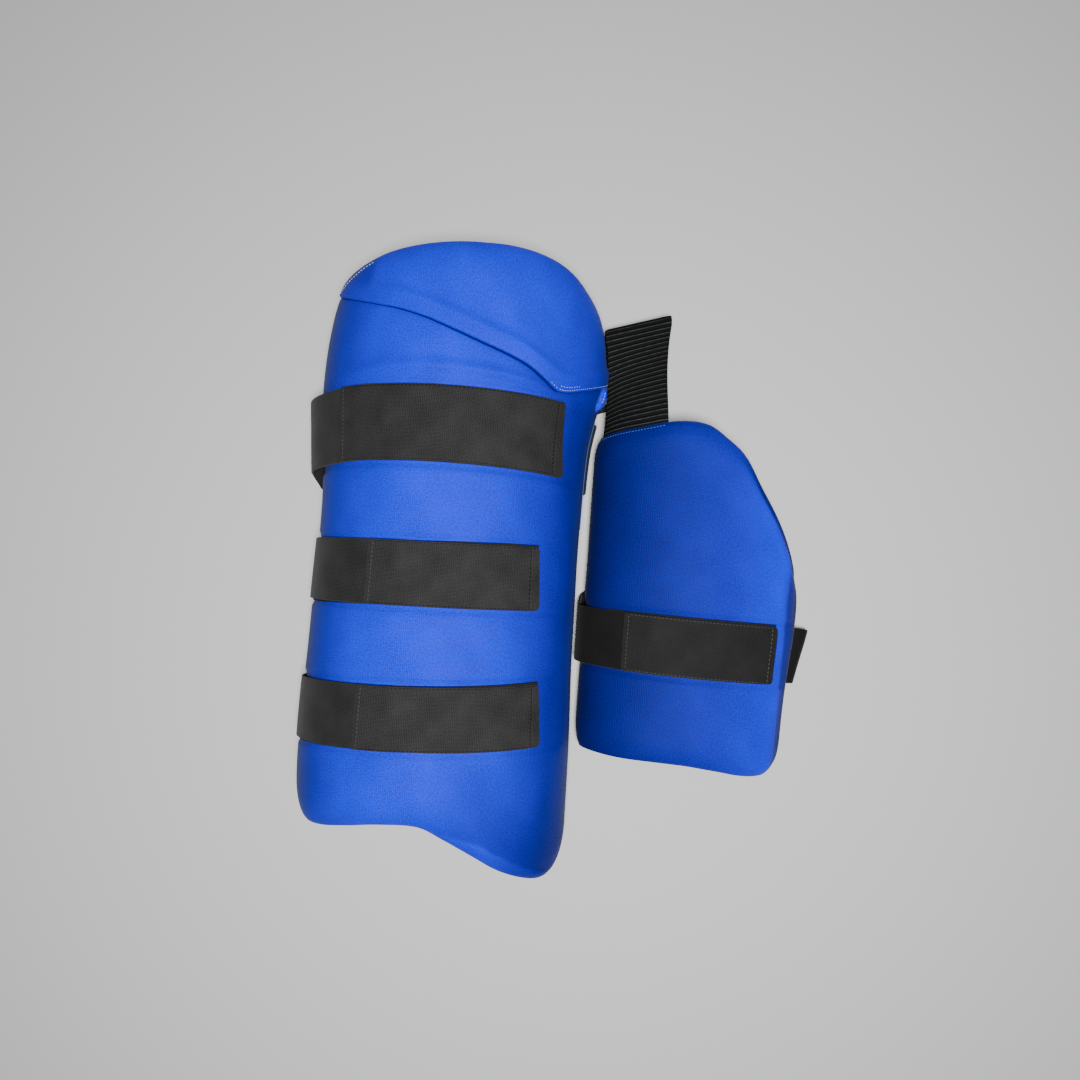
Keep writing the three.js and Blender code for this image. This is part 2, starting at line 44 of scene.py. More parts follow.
common = {
    "middle": (-84.274, 19.638),   # where the outer pad's middle lies
    "archShare": 0.82,             # the rest of a pad's half girth is its upright side
    "clearance": 0.3,
    "seamThickness": 3.0,
    "seamDepth": 0.45,
    "dentDepth": 1.6,
    "dentFade": 4.0,
    "dentMargin": 1.5,
    "strapThickness": 1.5,
    "patchThickness": 1.0,
    "strapLeaves": -0.9,
    "strapStands": -0.5,
    "lap": 12,                     # how far a strap runs on below its front end
    "lapMargin": 1,
    "tabCorner": 3.0,
    "tabLanding": 24,
    "tipSpan": 12,
    "stitchSink": 0.05,
}


# Numbers and tables

def curve(places, values):
    # smooth curve through a short table, level beyond its ends
    places = np.array(places, float)
    values = np.array(values, float)

    def at(x):
        x = np.clip(np.asarray(x, float), places[0], places[-1])
        i = np.clip(np.searchsorted(places, x, side="left") - 1, 0, len(places) - 2)
        before = np.maximum(i - 1, 0)
        after = np.minimum(i + 2, len(places) - 1)
        span = places[i + 1] - places[i]
        share = (x - places[i]) / span
        startSlope = (values[i + 1] - values[before]) / (places[i + 1] - places[before]) * span
        endSlope = (values[after] - values[i]) / (places[after] - places[i]) * span
        rise = values[i + 1] - values[i]
        return (values[i] + share * startSlope + share ** 2 * (3 * rise - 2 * startSlope - endSlope)
                + share ** 3 * (startSlope + endSlope - 2 * rise))

    return at


def ease(share):
    share = np.clip(share, 0, 1)
    return share * share * (3 - 2 * share)


def mix(a, b, share):
    return a + (b - a) * share


def roundedEnd(share):
    return np.sqrt(1 - (1 - np.clip(share, 0, 1)) ** 2)


def bump(x, middle, width):
    # smooth hump of height 1
    return np.exp(-((x - middle) / width) ** 2)


def points(x, y, z):
    return np.stack(np.broadcast_arrays(x, y, z), axis=-1).astype(float)


def unit(vectors):
    return vectors / np.maximum(np.linalg.norm(vectors, axis=-1, keepdims=True), 1e-9)


def stepsOf(grid, axis=0):
    return np.linalg.norm(np.diff(grid, axis=axis), axis=-1)


def lengthOf(path):
    # in metres
    return float(stepsOf(path).sum()) * 0.001


# Meshes

def metres(mm):
    mm = np.array(mm, float)
    mm[..., 0] += common["middle"][0]
    mm[..., 1] += common["middle"][1]
    return mm * 0.001


def inScene(name, data):
    made = bpy.data.objects.new(name, data)
    bpy.context.scene.collection.objects.link(made)
    return made


def uvLayer(mesh, name, rows):
    # two numbers for each vertex
    layer = mesh.uv_layers.new(name=name)
    corners = np.empty(len(mesh.loops), dtype=np.int32)
    mesh.loops.foreach_get("vertex_index", corners)
    layer.data.foreach_set("uv", rows[corners].ravel())


def addObject(name, verts, faces, material, cloth=None, sharp=55):
    mesh = bpy.data.meshes.new(name)
    mesh.from_pydata([tuple(v) for v in verts], [], [tuple(f) for f in faces])
    if cloth is not None:
        uvLayer(mesh, "cloth", cloth)
    mesh.polygons.foreach_set("use_smooth", [True] * len(mesh.polygons))
    mesh.set_sharp_from_angle(angle=math.radians(sharp))
    mesh.materials.append(material)
    mesh.update()
    return inScene(name, mesh)


def gridFaces(rows, cols, first=0):
    i, j = np.meshgrid(np.arange(rows - 1), np.arange(cols - 1), indexing="ij")
    a = first + i * cols + j
    return np.stack([a, a + cols, a + cols + 1, a + 1], axis=-1).reshape(-1, 4)


def clothLengths(grid, zero=None):
    # how far each point of a grid lies along the cloth, across and along, in metres
    across = np.zeros(grid.shape[:2])
    along = np.zeros(grid.shape[:2])
    across[:, 1:] = np.cumsum(stepsOf(grid, 1), axis=1)
    zero = grid.shape[1] // 2 if zero is None else zero
    across -= across[:, zero:zero + 1]
    along[1:, :] = np.cumsum(stepsOf(grid), axis=0)
    return np.stack([across, along], axis=-1) * 0.001


def slab(name, outer, inner, material, sharp, cloth=None, zero=None):
    # closed piece between two grids that match
    rows, cols = outer.shape[:2]
    verts = np.concatenate([outer.reshape(-1, 3), inner.reshape(-1, 3)])
    under = rows * cols
    faces = [gridFaces(rows, cols), gridFaces(rows, cols, under)[:, ::-1]]
    left = np.arange(rows - 1) * cols
    right = left + cols - 1
    first = np.arange(cols - 1)
    last = first + (rows - 1) * cols
    for a, b in ((left + cols, left), (right, right + cols), (first, first + 1), (last + 1, last)):
        faces.append(np.stack([a, b, b + under, a + under], axis=-1))
    faces = np.concatenate(faces)
    a, b, c, d = (verts[faces[:, k]] for k in range(4))
    volume = np.sum(a * np.cross(b, c)) + np.sum(a * np.cross(c, d))
    if volume < 0:
        faces = faces[:, ::-1]
    lengths = clothLengths(outer if cloth is None else cloth, zero).reshape(-1, 2)
    return addObject(name, metres(verts), faces, material, np.concatenate([lengths, lengths]), sharp)


def gridNormals(grid):
    return unit(np.cross(np.gradient(grid, axis=1), np.gradient(grid, axis=0)))


def tubeFaces(rings, sides):
    # faces round a closed tube, and one at each end
    faces = [(i * sides + k, i * sides + (k + 1) % sides,
              (i + 1) * sides + (k + 1) % sides, (i + 1) * sides + k)
             for i in range(rings - 1) for k in range(sides)]
    return faces + [tuple(range(sides))[::-1], tuple(range((rings - 1) * sides, rings * sides))]


def plumpThread(rings=5, sides=6):
    # one stitch from -1 to 1 along x, with a radius of 1
    verts = []
    for ring in range(rings):
        angle = math.pi * ring / (rings - 1)
        radius = max(math.sin(angle), 0.25) if 0 < ring < rings - 1 else 0.45
        for k in range(sides):
            turn = 2 * math.pi * k / sides
            verts.append((-math.cos(angle), radius * math.cos(turn), radius * math.sin(turn)))
    return np.array(verts), tubeFaces(rings, sides)


def stitchLine(name, path, normals, material, pitch, length, radius):
    # threads at even steps along a path of points, each lying half in the cloth
    path = np.asarray(path, float)
    steps = np.concatenate([[0], np.cumsum(stepsOf(path))])
    count = max(1, int(steps[-1] / pitch))
    middles = (np.arange(count) + 0.5) * steps[-1] / count

    def at(distance, rows):
        return np.stack([np.interp(distance, steps, rows[:, k]) for k in range(3)], axis=-1)

    outward = unit(at(middles, np.asarray(normals, float)))
    lift = outward * (radius * 0.3 - common["stitchSink"])
    starts = at(middles - length / 2, path) + lift
    ends = at(middles + length / 2, path) + lift
    shape, shapeFaces = plumpThread()
    verts = []
    faces = []
    for start, end, out in zip(starts, ends, outward):
        half = (end - start) / 2
        beside = unit(np.cross(out, half))
        first = len(verts) * len(shape)
        verts.append((start + end) / 2 + shape[:, :1] * half + shape[:, 1:2] * beside * radius
                     + shape[:, 2:] * out * radius * 0.8)
        faces += [tuple(first + v for v in face) for face in shapeFaces]
    return addObject(name, metres(np.concatenate(verts)), faces, material, None, 70)


# The shape of a pad

def side(pad, across, y):
    left = pad["widths"]["left"](y / pad["length"])
    right = pad["widths"]["right"](y / pad["length"])
    return np.where(across < 0, left, right) * pad["width"] / 2


def topEdge(pad, across):
    return pad["outline"]["top"](across) * pad["length"]


def bottomEdge(pad, across):
    return pad["outline"]["bottom"](across) * pad["length"]


def sideDrop(across):
    return np.clip((np.abs(across) - common["archShare"]) / (1 - common["archShare"]), 0, 1)


def strapMiddle(strap, across):
    slide = np.where(across < 0, strap["slideLeft"], strap["slideRight"]) * ease(sideDrop(across))
    shift = strap["lean"] * across - strap["bow"] * across ** 2 + slide
    return strap["along"] + strap["width"] * shift


def ledgeAt(strap, across):
    return np.maximum(common["dentFade"], strap["ledge"] * (1 - ((across + 0.05) / 0.52) ** 2))


def strapCover(strap, across, y):
    beyond = y - strapMiddle(strap, across)
    fade = np.where(beyond > 0, ledgeAt(strap, across), common["dentFade"])
    outside = np.abs(beyond) - strap["width"] / 2 - common["dentMargin"]
    return 1 - np.clip(outside / fade, 0, 1)


def section(pad, across, y, hollow):
    reach = side(pad, across, y) - (pad["sideFoam"] if hollow else 0)
    rise = pad["rise"] - pad["sideHeight"] - (pad["foam"] if hollow else 0)
    turn = np.minimum(np.abs(across) / common["archShare"], 1) * math.pi / 2
    drop = sideDrop(across)
    lift = (common["strapThickness"] + common["clearance"]) * np.max(
        [strapCover(strap, across, y) for strap in pad["straps"]], axis=0)
    x = np.sign(across) * (reach * np.sin(turn) - pad["tuck"] * drop ** 2)
    z = rise * np.cos(turn) + pad["sideHeight"] * (1 - drop) + lift * drop
    return points(x, y, z)


def girth(pad):
    arch = math.pi / 2 * math.hypot(pad["width"] / 2, pad["rise"] - pad["sideHeight"]) / math.sqrt(2)
    return arch + pad["sideHeight"]


def skin(pad, across, y):
    across, y = np.broadcast_arrays(np.asarray(across, float), np.asarray(y, float))
    face = section(pad, across, y, False)
    hollow = section(pad, across, y, True)
    thickness = np.linalg.norm(face - hollow, axis=-1)
    fromSide = (1 - np.abs(across)) * girth(pad) / pad["sideRounding"]
    fromEnd = np.minimum(topEdge(pad, across) - y, y - bottomEdge(pad, across)) / pad["endRounding"]
    swollen = roundedEnd(fromSide) * roundedEnd(fromEnd)
    full = np.maximum(common["seamThickness"] / thickness, swollen)[..., None]
    seam = mix(face, hollow, common["seamDepth"])
    inward = unit(hollow - face)
    outer = mix(seam, face, full)
    inner = mix(seam, hollow, full)
    for strap in pad["straps"]:
        pastTip = (across - strap["tip"]) * 8 / common["archShare"] - 1
        dent = common["dentDepth"] * strapCover(strap, across, y) * (1 - np.clip(pastTip, 0, 1))
        outer = outer + inward * (dent[..., None] * full)
    outer = outer + inward * (pad["relief"](pad, across, y)[..., None] * np.minimum(full * 1.2, 1))
    return outer, inner


def faceNormal(pad, across, y):
    step = 0.004
    start = skin(pad, np.maximum(across - step, -1), y)[0]
    end = skin(pad, np.minimum(across + step, 1), y)[0]
    return unit(points(start[..., 2] - end[..., 2], 0 * end[..., 0], end[..., 0] - start[..., 0]))


def above(pad, across, y, height):
    return skin(pad, across, y)[0] + faceNormal(pad, across, y) * np.asarray(height)[..., None]


def place(pad, grid):
    # from a pad's own middle to the outer pad's middle
    grid = np.array(grid, float)
    grid[..., 0] += pad["at"][0]
    grid[..., 1] += pad["at"][1]
    return grid


# The straps' places, which the pads' dents need

waistStrap = {
    "along": 73.5, "width": 52, "lean": 0.02, "bow": 0.206, "slideLeft": -0.27, "slideRight": 0,
    "seam": -0.44, "tip": 0.484, "tipSeam": 8.0, "tipLean": 0.09, "standLeft": 0.22, "ledge": 11,
    "loop": {"stand": 0.042, "pinch": 0, "seam": 0.86}, "patch": None,
}
upperStrap = {
    "along": -27.5, "width": 44, "lean": 0.08, "bow": 0, "slideLeft": 0, "slideRight": 0,
    "seam": -0.25, "tip": 0.412, "tipSeam": 7.5, "tipLean": 0.03, "standLeft": 0.014, "ledge": 0,
    "loop": None, "patch": {"start": -0.7, "lean": 0.09, "rise": 0},
}
lowerStrap = {
    "along": -124.5, "width": 44, "lean": 0.205, "bow": 0, "slideLeft": 0, "slideRight": 0,
    "seam": -0.25, "tip": 0.45, "tipSeam": 7.0, "tipLean": 0.03, "standLeft": 0.014, "ledge": 0,
    "loop": None, "patch": {"start": -0.7, "lean": 0.068, "rise": 0},
}
innerStrap = {
    "along": -38, "width": 42, "lean": -0.083, "bow": 0, "slideLeft": 0.286, "slideRight": -0.048,
    "seam": -0.355, "tip": 0.434, "tipSeam": 4.5, "tipLean": 0.02, "standLeft": 0.086, "ledge": 0,
    "loop": {"stand": 0.357, "pinch": 0.35, "seam": 0.86},
    "patch": {"start": -0.5, "lean": 0.024, "rise": 1.4},
}

hood = {
    "start": -0.745, "end": 0.965, "thickness": 1.4, "lip": 1.2, "crest": 2.9,
    "hemWidth": 10, "hemSpace": 2.6,
    "line": curve(
        (-1, -0.78, -0.55, -0.31, -0.2, -0.06, 0.1, 0.25, 0.34, 0.41, 0.53, 0.66, 0.82, 1),
        (0.388, 0.43, 0.408, 0.386, 0.376, 0.357, 0.328, 0.301, 0.277, 0.262, 0.273, 0.288,
         0.303, 0.308)),
}


def hemAt(across):
    line = hood["line"](across) * outerPad["length"]
    return np.minimum(line, topEdge(outerPad, across) - common["seamThickness"])


bandWidth = curve((-0.1, 0.1, 0.26, 0.4, 0.5, 0.62), (2, 4, 10.5, 8, 6, 4))


def pressedIn(pad, across, y):
    # the hollow inside the proud band along the lower right edge
    depth = y - bottomEdge(pad, across) - bandWidth(across)
    reach = ease((across + 0.02) / 0.25) * ease((0.74 - across) / 0.2)
    return ease(depth / 1.6) * ease((70 - depth) / 66) * reach


flangeOf = curve((-60, -30, 0, 27, 59, 91), (5, 6.5, 9, 7, 3.5, 2.8))


def fromFlange(pad, across, y):
    # distance inside the right silhouette or the cut edge, and the flange's width there
    turn = np.minimum(np.maximum(across, 0) / common["archShare"], 1) * math.pi / 2
    below = topEdge(pad, across) - y
    rise = pad["rise"] - pad["sideHeight"]
    upright = side(pad, across, y) * (1 - np.sin(turn)) - 0.28 * rise * np.cos(turn) + 1
    swell = (pad["foam"] - common["seamThickness"]) * roundedEnd(below / pad["endRounding"])
    cut = 0.6 * below - 0.25 * swell
    return np.minimum(upright, cut), flangeOf(y)


def outerRelief(pad, across, y):
    # how far the cover dips (or, below zero, swells) over the foam
    below = hemAt(across) - y
    crease = np.where(below > 0, np.exp(-below / 1.8), 0) * mix(0.5, 2.2, ease((across + 0.8) / 0.7))
    depth = y - bottomEdge(pad, across)
    banded = ease((across + 0.1) / 0.2) * ease((0.7 - across) / 0.15)
    bevel = 1.5 * pressedIn(pad, across, y) + 0.6 * bump(depth - bandWidth(across), 1.0, 1.2) * banded
    beyond = y - strapMiddle(waistStrap, across) - waistStrap["width"] / 2 - common["dentMargin"]
    crown = ease((0.46 - np.abs(across + 0.05)) / 0.2)
    swell = -1.7 * bump(beyond, ledgeAt(waistStrap, across), 3.6) * crown
    tuckLine = 1.2 * bump(beyond, -0.4, 1.2) * crown
    uneven = 0.22 * np.sin(across * 9 + y / 31) * np.sin(y / 23 - across * 4)
    ear = (1.4 * bump(y - 93.7 - 19 * (across - 0.55), 0, 1.5) * bump(across, 0.64, 0.07)
           + 0.7 * bump(y - 101 - 30 * (across - 0.7), 0, 1.6) * bump(across, 0.76, 0.05))
    pull = 0.5 * bump(across + 0.36 + (y - 170) * 0.002, 0, 0.03) * ease((y - 160) / 12)
    return crease + bevel + swell + tuckLine + uneven + ear + pull


def innerRelief(pad, across, y):
    # the pad leans: fuller towards its right shoulder, flatter on the left, then a flange;
    # a seam below the top hem and a small dimple on the right side
    lean = 3.0 * bump(across, -0.42, 0.3) - 3.2 * bump(across, 0.5, 0.22)
    below = topEdge(pad, across) - y
    inside, width = fromFlange(pad, across, y)
    ridge = 1.0 * bump(inside - width, 2.6, 2.2) * ease((y + 12) / 20)
    step = 1.2 * ease((width - inside) / 1.6 + 0.5) * ease(inside / 2)
    flange = (step - ridge) * ease((across - 0.12) / 0.2)
    seam = 0.7 * bump(below, 6.5, 1.0) * ease((across + 0.75) / 0.1) * ease((0.25 - across) / 0.1)
    dimple = 1.6 * bump(y, 16, 6) * bump(across, 0.71, 0.045)
    uneven = 0.16 * np.sin(across * 8 - y / 27) * np.sin(y / 19 + across * 3)
    return lean * ease(below / 30) + flange + seam + dimple + uneven


def curves(places, **rows):
    # one curve for each named row over the same places
    return {name: curve(places, row) for name, row in rows.items()}


outerPad = {
    "label": "outer", "at": (0, 0), "width": 200, "length": 397, "rise": 100,
    "sideHeight": 28, "tuck": 10, "foam": 25, "sideFoam": 15, "endRounding": 24, "sideRounding": 12,
    "widths": curves(
        (-0.515, -0.414, -0.188, 0.052, 0.17, 0.228, 0.261, 0.293, 0.341, 0.417, 0.455),
        left=(0.98, 1.0, 0.975, 0.95, 0.98, 1.0, 1.0, 0.995, 0.98, 0.94, 0.92),
        right=(1.015, 1.01, 0.98, 0.97, 0.985, 1.02, 1.05, 1.085, 1.065, 1.03, 1.0)),
    "outline": curves(
        (-1, -0.9, -0.75, -0.6, -0.45, -0.3, -0.15, 0, 0.1, 0.2, 0.32, 0.45, 0.57, 0.7, 0.82, 0.92, 1),
        top=(0.37, 0.402, 0.434, 0.452, 0.465, 0.479, 0.489, 0.496, 0.498, 0.499, 0.495,
             0.484, 0.466, 0.442, 0.415, 0.388, 0.365),
        bottom=(-0.47, -0.497, -0.521, -0.53, -0.526, -0.515, -0.504, -0.502, -0.522,
                -0.546, -0.575, -0.594, -0.602, -0.596, -0.577, -0.552, -0.528)),
    "straps": [lowerStrap, upperStrap, waistStrap],
    "relief": outerRelief,
}

innerPad = {
    "label": "inner", "at": (184, -30), "width": 159, "length": 245, "rise": 62,
    "sideHeight": 18, "tuck": 6, "foam": 20, "sideFoam": 11, "endRounding": 18, "sideRounding": 9,
    "widths": {
        "left": curve((-0.45, 0.5), (1.0, 1.0)),
        "right": curve((-0.45, -0.3, -0.2, -0.1, 0.1, 0.5), (0.93, 0.945, 0.97, 1.0, 1.01, 1.0)),
    },
    "outline": curves(
        (-1, -0.82, -0.6, -0.36, -0.14, 0, 0.1, 0.2, 0.3, 0.43, 0.58, 0.7, 0.82, 0.92, 1),
        top=(0.414, 0.45, 0.468, 0.487, 0.509, 0.502, 0.466, 0.42, 0.338, 0.25, 0.153,
             0.085, 0.027, -0.007, -0.032),
        bottom=(-0.47, -0.487, -0.492, -0.498, -0.499, -0.502, -0.508, -0.515, -0.523,
                -0.527, -0.52, -0.495, -0.447, -0.41, -0.375)),
    "straps": [innerStrap],
    "relief": innerRelief,
}


def padColumns(fine):
    arch = common["archShare"]
    half = np.concatenate([np.linspace(0, arch, fine), np.linspace(arch, 1, 14)[1:]])
    half = np.concatenate([half[:-1], [0.985, 0.993, 1]])
    return np.concatenate([-half[:0:-1], half])


def padRowAt(pad, hem, across):
    # rows of a pad for one or more places across: even steps between its features
    bottom = bottomEdge(pad, across)
    stops = [(bottom + up, count) for up, count in
             ((0, 0), (0.4, 1), (3, 3), (12, 5), (pad["endRounding"], 6))]
    for strap in pad["straps"]:
        middle = strapMiddle(strap, across)
        reach = strap["width"] / 2 + common["dentMargin"]
        stops.append((middle - reach - common["dentFade"], 14))
        stops.append((middle - reach, 4))
        stops.append((middle + reach, 12))
        stops.append((middle + reach + ledgeAt(strap, across), 6))
    top = topEdge(pad, across)
    if hem is not None:
        line = hem(across)
        stops.append((line - np.minimum(6, 0.3 * (line - stops[-1][0])), 9))
        stops.append((line, 8))
        stops.append((line + 0.5 * (top - line), 9))
    else:
        stops.append((stops[-1][0] + 0.6 * (top - stops[-1][0]), 16))
    last = stops[-1][0]
    stops += [(last + share * (top - last), 3) for share in (0.5, 0.75, 0.9, 0.97, 0.995, 1)]
    rows = [stops[0][0]]
    for (before, _), (after, count) in zip(stops, stops[1:]):
        for step in range(1, count + 1):
            rows.append(mix(before, after, step / count))
    return np.array(rows)


# Materials

def newMaterial(name):
    material = bpy.data.materials.new(name)
    material.use_nodes = True
    tree = material.node_tree
    return material, tree, tree.nodes["Principled BSDF"]


def addNode(tree, kind, **values):
    made = tree.nodes.new(kind)
    for key, value in values.items():
        setattr(made, key, value)
    return made


def wave(tree, coordinates, direction, pitch, distortion):
    made = addNode(tree, "ShaderNodeTexWave", wave_type="BANDS", bands_direction=direction)
    made.inputs["Scale"].default_value = 0.31416 / pitch
    made.inputs["Distortion"].default_value = distortion
    made.inputs["Detail"].default_value = 2.0
    tree.links.new(coordinates, made.inputs["Vector"])
    return made.outputs["Fac"]


def noise(tree, coordinates, size, detail=3.0, roughness=0.6):
    made = addNode(tree, "ShaderNodeTexNoise")
    made.inputs["Scale"].default_value = 1 / size
    made.inputs["Detail"].default_value = detail
    made.inputs["Roughness"].default_value = roughness
    tree.links.new(coordinates, made.inputs["Vector"])
    return made.outputs["Fac"]


def mathNode(tree, operation, a, b=None, c=None):
    made = addNode(tree, "ShaderNodeMath", operation=operation)
    for slot, value in enumerate((a, b, c)):
        if value is None:
            continue
        if isinstance(value, (int, float)):
            made.inputs[slot].default_value = value
        else:
            tree.links.new(value, made.inputs[slot])
    return made.outputs[0]


def weighted(tree, first, *others):
    # sum of values, each times its weight
    if not others:
        return mathNode(tree, "MULTIPLY", *first)
    return mathNode(tree, "MULTIPLY_ADD", *first, weighted(tree, *others))


def uvOf(tree, name):
    return addNode(tree, "ShaderNodeUVMap", uv_map=name).outputs["UV"]


def partOf(tree, vector, axis):
    split = addNode(tree, "ShaderNodeSeparateXYZ")
    tree.links.new(vector, split.inputs[0])
    return split.outputs[axis]


def multiplied(tree, colour, other):
    made = addNode(tree, "ShaderNodeMix", data_type="RGBA", blend_type="MULTIPLY")
    made.inputs[0].default_value = 1.0
    tree.links.new(colour, made.inputs[6])
    tree.links.new(other, made.inputs[7])
    return made.outputs[2]


def bumped(tree, shader, height, strength, distance):
    relief = addNode(tree, "ShaderNodeBump")
    relief.inputs["Strength"].default_value = strength
    relief.inputs["Distance"].default_value = distance
    tree.links.new(height, relief.inputs["Height"])
    tree.links.new(relief.outputs["Normal"], shader.inputs["Normal"])


def ramp(tree, factor, stops):
    made = addNode(tree, "ShaderNodeValToRGB")
    elements = made.color_ramp.elements
    while len(elements) < len(stops):
        elements.new(0.5)
    for element, (place, colour) in zip(elements, stops):
        element.position = place
        element.color = (*colour, 1)
    tree.links.new(factor, made.inputs["Fac"])
    return made.outputs["Color"]


coverLook = {
    "dark": (0.0008, 0.007, 0.36), "light": (0.0025, 0.020, 0.84), "roughness": 0.6,
    "knitPitch": 0.0013, "grain": 0.0013, "bump": 0.35, "sheen": 0.04, "span": 0.4,
}


def coverMaterial(name, paintedSideShade):
    # stretch knit, fine columns and rows of loops with a light mottle; painted shade darkens the
    # colour where the cloth turns down the sides, and the piece's own layer paints shade and highlight
    material, tree, shader = newMaterial(name)
    cloth = uvOf(tree, "cloth")
    columns = wave(tree, cloth, "X", coverLook["knitPitch"], 1.2)
    loops = wave(tree, cloth, "Y", coverLook["knitPitch"] * 0.8, 1.2)
    fine = noise(tree, cloth, coverLook["grain"])
    broad = noise(tree, cloth, 0.035, 2.0, 0.5)
    knit = mathNode(tree, "MULTIPLY", columns, loops)
    height = mathNode(tree, "MULTIPLY_ADD", fine, 0.9, knit)
    tone = weighted(tree, (fine, 0.62), (broad, 0.26), (knit, 0.16))
    colour = ramp(tree, tone, [(0.31, coverLook["dark"]), (0.69, coverLook["light"])])
    reach = mathNode(tree, "MULTIPLY_ADD", partOf(tree, cloth, "X"), 1 / coverLook["span"], 0.5)
    # painted shade: the colour is darkened by the distance across, towards the sides
    depth = ramp(tree, reach, [(0.5 + x / coverLook["span"], paintedShading) for x, *paintedShading in paintedSideShade])
    # painted shade and highlight from the piece's own layer
    paintedShading = partOf(tree, uvOf(tree, "shade"), "X")
    shown = multiplied(tree, multiplied(tree, colour, depth), paintedShading)
    tree.links.new(shown, shader.inputs["Base Color"])
    rough = mathNode(tree, "MULTIPLY_ADD", fine, 0.16, coverLook["roughness"] - 0.08)
    tree.links.new(rough, shader.inputs["Roughness"])
    bumped(tree, shader, height, coverLook["bump"], 0.0006)
    shader.inputs["Sheen Weight"].default_value = coverLook["sheen"]
    shader.inputs["Sheen Roughness"].default_value = 0.45
    shader.inputs["Sheen Tint"].default_value = (0.35, 0.5, 0.9, 1)
    shader.inputs["Specular IOR Level"].default_value = 0.1
    return material


webbingLook = {
    "dark": 0.004, "light": 0.031, "roughness": 0.75, "ribPitch": 0.0012, "yarnPitch": 0.0009,
    "bump": 0.35,
}


def webbingMaterial(name, shade):
    # flat woven elastic: fine ribs along it, crossed by yarns, with worn grey flecks
    material, tree, shader = newMaterial(name)
    cloth = uvOf(tree, "cloth")
    ribs = wave(tree, cloth, "X", webbingLook["ribPitch"], 0.6)
    yarns = wave(tree, cloth, "Y", webbingLook["yarnPitch"], 1.5)
    fleck = noise(tree, cloth, 0.0008, 4.0, 0.7)
    broad = noise(tree, cloth, 0.02, 2.0, 0.5)
    weave = mathNode(tree, "MULTIPLY", ribs, yarns)
    tone = weighted(tree, (fleck, 0.7), (weave, 0.3), (broad, 0.25))
    # shade scales the colour of this whole copy; the inner strap's low values are painted shade
    stops = [(0.42, (webbingLook["dark"] * shade,) * 3), (0.78, (webbingLook["light"] * shade,) * 3)]
    tree.links.new(ramp(tree, tone, stops), shader.inputs["Base Color"])
    rough = mathNode(tree, "MULTIPLY_ADD", fleck, 0.2, webbingLook["roughness"] - 0.1)
    tree.links.new(rough, shader.inputs["Roughness"])
    height = mathNode(tree, "MULTIPLY_ADD", fleck, 0.5, weave)
    bumped(tree, shader, height, webbingLook["bump"], 0.0005)
    shader.inputs["Sheen Weight"].default_value = 0.04
    shader.inputs["Specular IOR Level"].default_value = 0.15
    return material


def patchMaterial():
    # looped fastening cloth: a dense dark pile
    material, tree, shader = newMaterial("patchPile")
    cloth = uvOf(tree, "cloth")
    pile = noise(tree, cloth, 0.0007, 4.0, 0.75)
    colour = ramp(tree, pile, [(0.35, (0.005, 0.005, 0.006)), (0.75, (0.028, 0.028, 0.030))])
    tree.links.new(colour, shader.inputs["Base Color"])
    shader.inputs["Roughness"].default_value = 0.9
    bumped(tree, shader, pile, 0.6, 0.0008)
    shader.inputs["Specular IOR Level"].default_value = 0.05
    return material


def ribbedMaterial(pitch):
    # black elastic, lighter along the crest of each rib
    material, tree, shader = newMaterial("ribbedElastic")
    cloth = uvOf(tree, "cloth")
    fleck = noise(tree, cloth, 0.0008, 3.0, 0.7)
    broken = noise(tree, cloth, 0.004, 2.0, 0.6)
    phase = mathNode(tree, "FRACT", mathNode(tree, "DIVIDE", partOf(tree, cloth, "Y"), pitch))
    away = mathNode(tree, "ABSOLUTE", mathNode(tree, "SUBTRACT", phase, 0.5))
    line = mathNode(tree, "SUBTRACT", 1.0, mathNode(tree, "DIVIDE", away, 0.13))
    line = mathNode(tree, "MAXIMUM", line, 0.0)
    line = mathNode(tree, "MULTIPLY", line, mathNode(tree, "MULTIPLY_ADD", broken, 1.5, -0.1))
    tone = mathNode(tree, "MULTIPLY_ADD", fleck, 0.12, line)
    colour = ramp(tree, tone, [(0.05, (0.0006, 0.0007, 0.0008)), (0.85, (0.044, 0.047, 0.047))])
    tree.links.new(colour, shader.inputs["Base Color"])
    shader.inputs["Roughness"].default_value = 0.8
    shader.inputs["Specular IOR Level"].default_value = 0.12
    bumped(tree, shader, fleck, 0.3, 0.0004)
    return material


def threadMaterial(name, colour, shine):
    material, tree, shader = newMaterial(name)
    where = addNode(tree, "ShaderNodeTexCoord").outputs["Object"]
    fleck = noise(tree, where, 0.0006, 2.0, 0.6)
    dark = tuple(0.6 * c for c in colour)
    mottled = ramp(tree, fleck, [(0.3, dark), (0.7, colour)])
    tree.links.new(mottled, shader.inputs["Base Color"])
    shader.inputs["Roughness"].default_value = 0.65
    shader.inputs["Specular IOR Level"].default_value = shine
    return material


